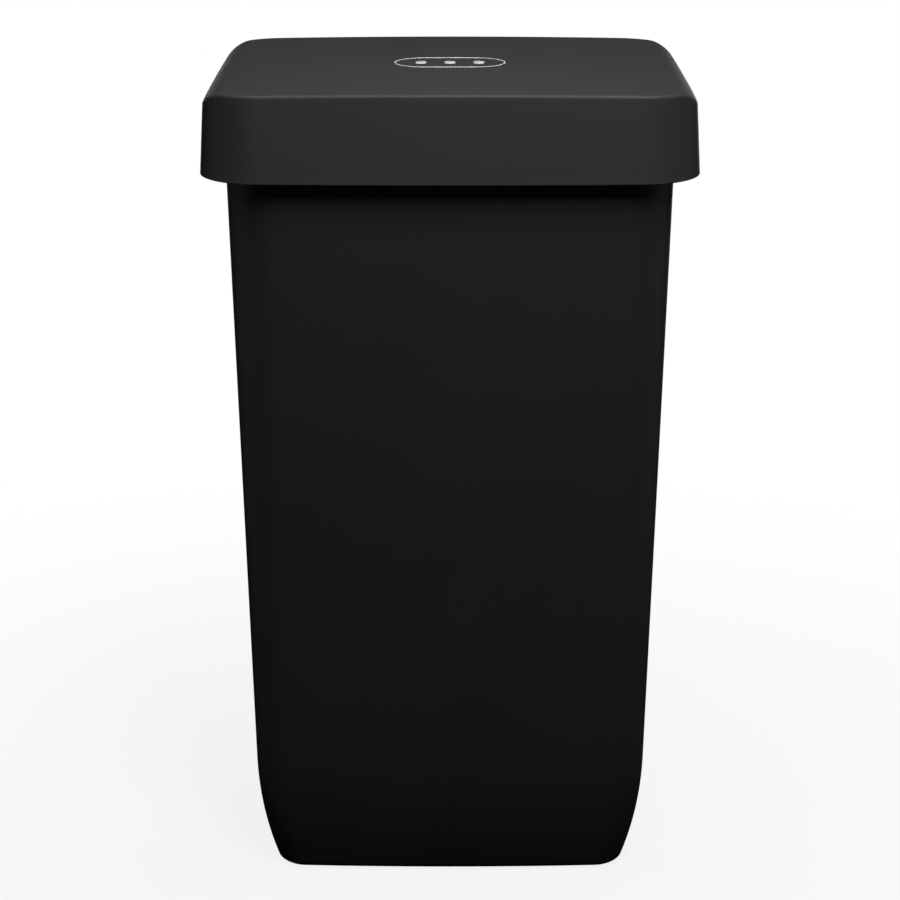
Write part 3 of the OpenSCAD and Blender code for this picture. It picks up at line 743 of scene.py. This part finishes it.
class WASTE_BIN_OT_lid(bpy.types.Operator):
    """Builds the lid's outer shell with its deep skirt, crisp top edge and rounded side shoulders"""

    bl_idname = "waste_bin.lid"
    bl_label = "Build Lid"

    def execute(self, context):
        size = context.scene.waste_bin.lid
        low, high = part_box("lid_cover")
        parts = np.concatenate((np.linspace(1.0, 0.83, 26)[:-1], np.linspace(0.83, 0.03, 26)))
        sunk = 0.08 * MM
        turn = np.linspace(0.0, 0.5 * np.pi, 9)
        edge = [
            lid_top_ring(size.edge * (1 - math.cos(t)), sunk + size.edge * (1 - math.sin(t))) for t in turn
        ]
        top = [lid_top_ring(size.edge, sunk, part) for part in parts[1:]]
        under = [lid_top_ring(size.wall, size.wall, part) for part in parts[::-1]]
        wall = [(size.wall, size.skirt), (size.wall, 0.0), (0.0, 0.0), (0.0, size.skirt)]
        lip = rounded(wall, size.lip, 6)[1:-1]
        bottom = [level(high.x - d, high.y - d, size.corner - d, low.z + up, size.bow) for d, up in lip]
        rings = np.concatenate((
            np.stack(under),
            between(under[-1], bottom[0], 16)[1:-1],
            np.stack(bottom),
            between(bottom[-1], edge[0], 26)[1:-1],
            np.stack(edge),
            np.stack(top),
        ))
        worn = np.zeros(len(rings))
        start = len(under) + 14
        worn[start:start + len(bottom)] = 0.8
        first_edge = start + len(bottom) + 24
        worn[first_edge:first_edge + len(edge)] = 0.35
        rub = np.append(np.repeat(worn, rings.shape[1]), (0.0, 0.0))
        made = piece("lid_shell", skin(rings), "lid", "lid_plastic", ["lid_cover"], rub)
        weigh_normals(made)
        return {"FINISHED"}


class WASTE_BIN_OT_mark(bpy.types.Operator):
    """Prints the plain white mark on the lid: a long ring round three dots"""

    bl_idname = "waste_bin.mark"
    bl_label = "Print Mark"

    def execute(self, context):
        back = 7.0 * MM
        raised, sunk = -0.03 * MM, -0.3 * MM

        def slab(outer, inner):
            """A thin ring between two flat outlines, laid over the lid's top."""
            heights = (sunk, raised, raised, sunk)
            rings = [
                np.column_stack((flat + (0.0, back), lid_height(flat[:, 0]) + up))
                for flat, up in zip((outer, outer, inner, inner), heights)
            ]
            return skin(np.stack(rings), closed_rows=True)

        def patch(a, b, r, x, y):
            """A thin solid patch of half sizes a and b about x, y."""
            flat = outline(a, b, r) + (x, y + back)
            rings = [np.column_stack((flat, lid_height(flat[:, 0]) + up)) for up in (sunk, raised)]
            return skin(np.stack(rings))

        dot_a, dot_b, spacing = 4.5 * MM, 8.0 * MM, 24.0 * MM
        outer = outline(46.0 * MM, 27.0 * MM, 26.9 * MM)
        ring = slab(outer, outline(44.7 * MM, 23.2 * MM, 23.1 * MM))
        dots = [patch(dot_a, dot_b, dot_a - 0.1 * MM, x, 0.0) for x in (-spacing, 0.0, spacing)]
        piece("printed_mark", joined([ring, *dots]), "lid", "lid_plastic", look="ink")
        return {"FINISHED"}


class WASTE_BIN_OT_tray(bpy.types.Operator):
    """Builds the tray inside the lid, with a pressed field and the bosses that join it to the lid"""

    bl_idname = "waste_bin.tray"
    bl_label = "Build Tray"

    def execute(self, context):
        size = context.scene.waste_bin.lid
        low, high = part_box("lid_inner_panel")
        a, b, r, wall = high.x, high.y, size.tray_corner, size.tray_wall
        gap = 1.0 * MM
        top = lid_height(a) - size.wall - gap
        base = top - wall
        border_x, border_y, step = 30 * MM, 26 * MM, 9 * MM

        def field(ring):
            """Raises the plate inside its border by a smooth step."""
            inward_x = smooth(a - border_x - np.abs(ring[:, 0]), 0.0, step)
            inward_y = smooth(b - border_y - np.abs(ring[:, 1]), 0.0, step)
            return ring + np.outer(size.tray_field * inward_x * inward_y, (0.0, 0.0, 1.0))

        parts = np.concatenate((np.linspace(0.97, 0.70, 34), np.linspace(0.70, 0.03, 14)[1:]))
        reach = 0.03
        corners = [(reach, base), (wall, base), (wall, low.z), (0.0, low.z), (0.0, top), (reach, top)]
        profile = rounded(corners, np.array((1.8, 0.8, 0.8, 1.2)) * MM, 6)
        walls = [level(a - d, b - d, max(r - d, 6 * MM), z) for d, z in profile[1:-1]]
        inner = [
            field(level((a - wall) * part, (b - wall) * part, (r - wall) * part, base))
            for part in parts[::-1]
        ]
        outer = [field(level(a * part, b * part, r * part, top)) for part in parts]
        shell = skin(np.stack(inner + walls + outer))
        boss = []
        boss_radius = 7 * MM
        for x in (-0.5 * a, 0.0, 0.5 * a):
            weld = lid_height(x) - size.wall + 0.3 * MM
            rod = lathe([(boss_radius, top), (boss_radius, weld)], 32)
            boss += [skin(rod + (x, y, 0.0)) for y in (-0.5 * b, 0.5 * b)]
        surface = joined([shell, *boss])
        made = piece("lid_tray", surface, "lid", "inner_plastic", ["lid_inner_panel"])
        weigh_normals(made)
        return {"FINISHED"}


class WASTE_BIN_OT_seal(bpy.types.Operator):
    """Builds the rubber seal: a flat foot with two soft ridges, carried round the collar"""

    bl_idname = "waste_bin.seal"
    bl_label = "Build Seal"

    def execute(self, context):
        low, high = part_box("seal_strip")
        width, corner = 8.0 * MM, 54.7 * MM
        across = np.linspace(0.0, 1.0, 25)
        valley = 0.5 + 0.5 * np.cos(4.0 * np.pi * across)
        shallower = np.where(np.abs(across - 0.5) < 0.25, 0.7, 1.0)
        crest = high.z - 1.5 * MM * valley * shallower
        inset = width * across
        foot = [(0.0, low.z), (0.0, low.z + 1.2 * MM)]
        profile = foot + list(zip(inset, crest)) + [(width, low.z + 1.2 * MM), (width, low.z)]
        rings = np.stack([level(high.x - d, high.y - d, corner - d, z) for d, z in profile])
        piece("seal", skin(rings, closed_rows=True), "bin", "rubber", ["seal_strip"])
        return {"FINISHED"}


class WASTE_BIN_OT_liner(bpy.types.Operator):
    """Builds the lift-out sheet liner with its flange and pressed grooves"""

    bl_idname = "waste_bin.liner"
    bl_label = "Build Liner"

    def execute(self, context):
        size = context.scene.waste_bin.liner
        low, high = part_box("liner")
        rim = high.z - size.sheet
        grooves = rim - np.array((46.0, 60.0, 300.0, 314.0)) * MM

        def ring(z, inset):
            """The liner's outline at height z: it leans in evenly, and each groove is a soft bump inward."""
            pressed = size.swage * np.exp(-(((z - grooves) / (3.2 * MM)) ** 2)).sum()
            drawn = (rim - z) * math.tan(size.lean) + inset + pressed + size.flange
            up = (z - low.z) / (rim - low.z)
            return level(high.x - drawn, high.y - drawn, size.corner - 4 * MM * (1 - up) - inset, z)

        heights = np.unique(np.concatenate((
            np.linspace(low.z + 8 * MM, rim - 8 * MM, 40),
            *[np.linspace(groove - 9 * MM, groove + 9 * MM, 19) for groove in grooves],
        )))
        turn = np.linspace(0.0, 0.5 * np.pi, 7)
        heel = 6.0 * MM
        outside = [ring(low.z + heel * (1 - math.cos(t)), heel * (1 - math.sin(t))) for t in turn]
        outside += [ring(z, 0.0) for z in heights]
        lip = rounded(
            [
                (rim - 6 * MM, 0.0), (rim, 0.0), (rim, -size.flange),
                (high.z, -size.flange), (high.z, size.sheet), (rim - 6 * MM, size.sheet),
            ],
            np.array((1.0, 0.5, 0.5, 1.6)) * MM,
            6,
        )
        outside += [ring(min(z, rim), inset) * (1, 1, 0) + (0, 0, z) for z, inset in lip[1:-1]]
        inside = [ring(z, size.sheet) for z in heights[::-1]]
        inner = heel - size.sheet
        inside += [
            ring(low.z + size.sheet + inner * (1 - math.cos(t)), size.sheet + inner * (1 - math.sin(t)))
            for t in turn[::-1]
        ]
        dish = 1.5 * MM
        flat = np.linspace(0.97, 0.05, 14)
        raised = dish * smooth(1.0 - flat, 0.06, 0.16)
        under = [outside[0] * (part, part, 1.0) + (0, 0, up) for part, up in zip(flat[::-1], raised[::-1])]
        over = [inside[-1] * (part, part, 1.0) + (0, 0, up) for part, up in zip(flat, raised)]
        surface = skin(np.stack(under + outside + inside + over))
        made = piece(
            "liner_bucket", surface, "bucket", "galvanised_steel", ["liner"]
        )
        weigh_normals(made)
        return {"FINISHED"}


def tube(path, radius, steps=24):
    """A round rod of the given radius along a path in the x-z plane, with rounded ends.

    Each ring lies square to the path: across it along y, and up it along the path's own normal.
    """
    along = np.gradient(path, axis=0)
    along /= np.linalg.norm(along, axis=1, keepdims=True)
    across = np.array((0.0, 1.0, 0.0))
    up = np.cross(along, across)
    angle = np.linspace(0.0, 2.0 * np.pi, steps, endpoint=False)
    width = np.full(len(path), radius)
    width[[0, -1]] *= 0.55
    circle = np.cos(angle)[None, :, None] * across + np.sin(angle)[None, :, None] * up[:, None, :]
    return path[:, None, :] + circle * width[:, None, None]


class WASTE_BIN_OT_bail(bpy.types.Operator):
    """Builds the bent wire bail and its ribbed grip"""

    bl_idname = "waste_bin.bail"
    bl_label = "Build Bail"

    def execute(self, context):
        size = context.scene.waste_bin.liner
        low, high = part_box("bail_wire")
        grip_low, grip_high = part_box("bail_grip")
        radius = 0.5 * (high.y - low.y)
        end_x, pivot, bar = high.x, high.z - radius, low.z + radius
        leg = end_x + 0.5 * MM - size.bail_in
        bend = size.bend
        turn = np.linspace(0.0, 0.5 * np.pi, 12)
        half = np.concatenate((
            [(end_x, pivot), (end_x - 0.8 * MM, pivot), (leg + bend + 1 * MM, pivot)],
            np.stack((leg + bend * (1 - np.sin(turn)), pivot - bend * (1 - np.cos(turn))), axis=1),
            np.stack((np.full(8, leg), np.linspace(pivot - bend - 2 * MM, bar + bend + 2 * MM, 8)), axis=1),
            np.stack((leg - bend * (1 - np.cos(turn)), bar + bend * (1 - np.sin(turn))), axis=1),
            [(leg - bend - 4 * MM, bar)],
        ))
        flat = np.concatenate((half, half[::-1] * (-1.0, 1.0)))
        path = np.stack((flat[:, 0], np.zeros(len(flat)), flat[:, 1]), axis=1)
        surface = skin(tube(path, radius))
        piece("bail", surface, "bail", "galvanised_steel", ["bail_wire"])

        reach, outer = grip_high.x, 0.5 * (grip_high.z - grip_low.z)
        x = np.linspace(-reach + 6 * MM, reach - 6 * MM, 121)
        ribs = outer - 1.0 * MM + 0.6 * MM * np.abs(np.cos(np.pi * x / (7.6 * MM))) ** 0.6
        cap = [(radius, -reach), (outer, -reach), (outer, -reach + 4 * MM), (outer - 1 * MM, -reach + 5 * MM)]
        ends = rounded(cap, 0.8 * MM)
        profile = np.concatenate((ends, np.stack((ribs, x), axis=1), ends[::-1] * (1.0, -1.0)))
        middle = (0.0, 0.0, 0.5 * (grip_high.z + grip_low.z))
        surface = skin(turned_to(lathe(profile, 48), (1.0, 0.0, 0.0), middle), closed_rows=True)
        made = piece("grip", surface, "bail", "grip_plastic", ["bail_grip"])
        weigh_normals(made)
        return {"FINISHED"}


class WASTE_BIN_OT_feet(bpy.types.Operator):
    """Builds the rubber pads with their chamfers and tread rings"""

    bl_idname = "waste_bin.feet"
    bl_label = "Build Foot Pads"

    def execute(self, context):
        for corner in ("front_left", "front_right", "rear_left", "rear_right"):
            node = f"foot_pad_{corner}"
            low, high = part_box(node)
            radius, height = 0.5 * (high.x - low.x), high.z
            tread = ((2, 0.5), (5, 0.5), (5.6, 0.0), (8, 0.0), (8.6, 0.5), (10.6, 0.5), (11.2, 0.0))
            profile = [(out * MM, up * MM) for out, up in tread]
            profile += [(radius - 0.8 * MM, 0.0), (radius, 0.6 * MM)]
            profile += [(radius, height - 0.3 * MM), (radius - 0.3 * MM, height), (2 * MM, height)]
            rings = lathe(profile) + (0.5 * (low.x + high.x), 0.5 * (low.y + high.y), 0.0)
            made = piece(f"pad_{corner}", skin(rings), "bin", "rubber", [node])
            weigh_normals(made)
        return {"FINISHED"}


class WASTE_BIN_OT_fittings(bpy.types.Operator):
    """Finishes the collar, hinges, screws and bosses, whose shapes come from the frame"""

    bl_idname = "waste_bin.fittings"
    bl_label = "Finish Fittings"

    def execute(self, context):
        finishes = {
            "inner_plastic": ["collar"],
            "nylon": ["hinge_bushes_left", "hinge_bushes_right"],
            "steel": [
                "spreader_washers", "collar_screws", "hinge_arm_left", "hinge_arm_right", "hinge_rivets",
                "hinge_pin_left", "hinge_pin_right", "pin_clips",
            ],
            "galvanised_steel": ["bail_boss_left", "bail_boss_right"],
        }
        for material, nodes in finishes.items():
            for node in nodes:
                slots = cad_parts[node].data.materials
                slots.clear()
                slots.append(finish(material))
        return {"FINISHED"}


class WASTE_BIN_OT_stage(bpy.types.Operator):
    """Sets up the pale floor, the soft lights and the camera"""

    bl_idname = "waste_bin.stage"
    bl_label = "Set Stage"

    def execute(self, context):
        scene, settings = context.scene, context.scene.waste_bin.stage
        scene.view_settings.view_transform = "Standard"
        self.surroundings(scene, settings)
        self.floor(scene, settings)
        soft = [
            ("Key Softbox", settings.key_power, (0.24, -1.04, 1.68), (0.0, -0.15, 0.47), 0.4, 0.9),
            ("Top Softbox", settings.top_power, (0.1, 0.0, 2.15), (0.02, 0.0, 0.68), 0.6, 0.6),
            ("Rear Left Softbox", settings.rear_power, (-0.5, 1.6, 0.42), (-0.05, 0.1, 0.4), 0.6, 0.45),
            ("Rear Right Softbox", settings.rear_power, (0.6, 1.55, 0.42), (0.05, 0.1, 0.4), 0.6, 0.45),
            ("Left Softbox", settings.side_power, (-1.5, 0.05, 0.22), (-0.1, -0.05, 0.36), 0.5, 0.4),
            ("Right Softbox", settings.side_power, (1.5, 0.05, 0.22), (0.1, -0.05, 0.36), 0.5, 0.4),
        ]
        for name, power, place, target, width, height in soft:
            self.softbox(scene, name, power, place, target, width, height)
        camera = bpy.data.objects.new("Camera", bpy.data.cameras.new("Camera"))
        camera.data.lens, camera.data.sensor_width = settings.lens, 36.0
        camera.location = (0.0, -settings.camera_back, settings.camera_up)
        camera.rotation_euler = (0.5 * math.pi - settings.pitch, 0.0, 0.0)
        scene.collection.objects.link(camera)
        scene.camera = camera
        return {"FINISHED"}

    def softbox(self, scene, name, power, place, target, width, height):
        """A rectangular lamp at place that faces target."""
        lamp = bpy.data.lights.new(name, "AREA")
        lamp.shape, lamp.size, lamp.size_y, lamp.energy = "RECTANGLE", width, height, power
        made = bpy.data.objects.new(name, lamp)
        made.location = place
        aim = np.subtract(target, place)
        tip = math.acos(-aim[2] / np.linalg.norm(aim))
        made.rotation_euler = (tip, 0.0, math.atan2(aim[1], aim[0]) - 0.5 * math.pi)
        made.visible_camera = False
        scene.collection.objects.link(made)

    def surroundings(self, scene, settings):
        """A world that is white behind the bin, while the bin itself mirrors a pale card and dimness."""
        world = bpy.data.worlds.new("Studio")
        world.use_nodes = True
        scene.world = world
        tree = world.node_tree
        seen = tree.nodes.new("ShaderNodeLightPath").outputs["Is Camera Ray"]
        direction = tree.nodes.new("ShaderNodeTexCoord").outputs["Generated"]
        towards = add(tree, "ShaderNodeSeparateXYZ", {0: direction}).outputs
        squares = [maths(tree, "POWER", towards[axis], 2.0) for axis in ("X", "Y")]
        flat = maths(tree, "SQRT", maths(tree, "ADD", *squares))
        forward = maths(tree, "MULTIPLY", towards["Y"], -1.0)
        ahead = maths(tree, "DIVIDE", forward, maths(tree, "MAXIMUM", flat, 0.001))
        across = map_range(tree, ahead, 0.3, 0.75)
        upright = map_range(tree, towards["Z"], -0.62, 0.05)
        card = maths(tree, "MULTIPLY", maths(tree, "MULTIPLY", across, upright), settings.card)
        glow = add(tree, "ShaderNodeCombineColor", {0: card, 1: card, 2: card}).outputs[0]
        dim = (settings.ambient,) * 3 + (1.0,)
        added = add(tree, "ShaderNodeMix", {0: 1.0, 6: dim, 7: glow}, data_type="RGBA", blend_type="ADD")
        shown = blended(tree, seen, added.outputs[2], (1.0, 1.0, 1.0, 1.0))
        tree.links.new(shown, tree.nodes["Background"].inputs["Color"])

    def floor(self, scene, settings):
        """A round floor that takes the bin's soft shadow and fades to plain white far from it."""
        material = bpy.data.materials.new("floor")
        material.use_nodes = True
        tree = material.node_tree
        shader = tree.nodes["Principled BSDF"]
        place = tree.nodes.new("ShaderNodeTexCoord").outputs["Object"]
        distance = vectors(tree, "LENGTH", place, output="Value")
        paper = noise(tree, place, 40.0, 3.0)
        tone = blended(tree, paper, solid(settings.floor, 0.985), solid(settings.floor, 1.0))
        tree.links.new(tone, shader.inputs["Base Color"])
        shader.inputs["Roughness"].default_value = 0.9
        shader.inputs["Specular IOR Level"].default_value = 0.1
        plain = add(tree, "ShaderNodeEmission", {"Color": (1.0, 1.0, 1.0, 1.0), "Strength": 1.0}).outputs[0]
        far = map_range(tree, distance, 0.3, 1.1, 0.86, 1.0)
        mixed = add(tree, "ShaderNodeMixShader", {0: far, 1: shader.outputs[0], 2: plain})
        tree.links.new(mixed.outputs[0], tree.nodes["Material Output"].inputs["Surface"])
        rings = lathe([(radius, 0.0) for radius in (6.0, 1.5, 0.5, 0.05)], 64)
        mesh = bpy.data.meshes.new("floor")
        mesh.from_pydata(rings.reshape(-1, 3).tolist(), [], quads(*rings.shape[:2], False).tolist())
        mesh.materials.append(material)
        made = bpy.data.objects.new("floor", mesh)
        made.visible_diffuse = made.visible_glossy = False
        scene.collection.objects.link(made)


# Panel and registration


class WASTE_BIN_PT_build(bpy.types.Panel):
    """Lists the build steps and their settings"""

    bl_label = "Waste Bin"
    bl_idname = "WASTE_BIN_PT_build"
    bl_space_type = "VIEW_3D"
    bl_region_type = "UI"
    bl_category = "Waste Bin"

    def draw(self, context):
        settings = context.scene.waste_bin
        for operator in OPERATORS:
            self.layout.operator(operator.bl_idname)
        for group in (settings.tub, settings.lid, settings.liner, settings.finish, settings.stage):
            box = self.layout.box()
            for name in group.bl_rna.properties.keys():
                if name not in ("rna_type", "name"):
                    box.prop(group, name)


OPERATORS = (
    WASTE_BIN_OT_stage,
    WASTE_BIN_OT_tub,
    WASTE_BIN_OT_lid,
    WASTE_BIN_OT_mark,
    WASTE_BIN_OT_tray,
    WASTE_BIN_OT_seal,
    WASTE_BIN_OT_liner,
    WASTE_BIN_OT_bail,
    WASTE_BIN_OT_feet,
    WASTE_BIN_OT_fittings,
)
CLASSES = (
    TubSizes, LidSizes, LinerSizes, Finishes, StageSettings, WasteBinSettings, *OPERATORS, WASTE_BIN_PT_build
)


def register():
    """Adds the classes and the scene's settings."""
    for added in CLASSES:
        bpy.utils.register_class(added)
    bpy.types.Scene.waste_bin = PointerProperty(type=WasteBinSettings)


def unregister():
    """Takes them away again."""
    del bpy.types.Scene.waste_bin
    for added in reversed(CLASSES):
        bpy.utils.unregister_class(added)


def main():
    """Builds the bin and its stage."""
    register()
    bpy.ops.waste_bin.stage()
    bpy.ops.waste_bin.tub()
    bpy.ops.waste_bin.lid()
    bpy.ops.waste_bin.mark()
    bpy.ops.waste_bin.tray()
    bpy.ops.waste_bin.seal()
    bpy.ops.waste_bin.liner()
    bpy.ops.waste_bin.bail()
    bpy.ops.waste_bin.feet()
    bpy.ops.waste_bin.fittings()


if __name__ == "__main__":
    main()
